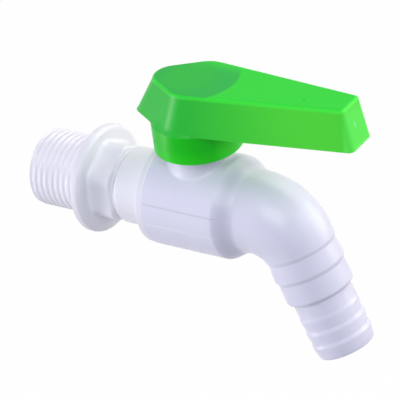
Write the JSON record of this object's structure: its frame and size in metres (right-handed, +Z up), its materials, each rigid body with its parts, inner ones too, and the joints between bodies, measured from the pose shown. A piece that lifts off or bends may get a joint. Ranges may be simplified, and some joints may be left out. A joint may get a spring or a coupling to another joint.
{
  "type": "ball tap",
  "caption": "White plastic ball tap with a threaded inlet and wall flange, a bent hose tail and a green lever handle that turns a quarter turn.",
  "frame": {"origin": "centre of the flange's wall face, on the axis of the inlet thread", "axes": "+X along the inlet towards the spout, +Z up along the stem towards the handle, +Y to the left seen from the inlet"},
  "size_m": [0.1016, 0.0296, 0.0763],
  "materials": {
    "white_plastic": "soft gloss, moulded",
    "green_plastic": "soft gloss, moulded",
    "ball_plastic": "polished",
    "seat_plastic": "smooth",
    "stem_plastic": "smooth",
    "rubber": "smooth"
  },
  "bodies": {
    "casing": {"inlet_nipple": "white_plastic", "body": "white_plastic", "inlet_seat": "seat_plastic", "outlet_seat": "seat_plastic", "inlet_seat_cushion": "rubber", "outlet_seat_cushion": "rubber", "nipple_oring": "rubber"},
    "lever": {"handle": "green_plastic", "stem": "stem_plastic", "ball": "ball_plastic", "lower_stem_oring": "rubber", "upper_stem_oring": "rubber"}
  },
  "joints": [
    {"name": "lever_turn", "type": "hinge", "parent": "casing", "child": "lever", "pos_m": [0.03434, 0, 0], "axis": [0, 0, 1], "range_deg": [-3.3, 86.7]}
  ]
}
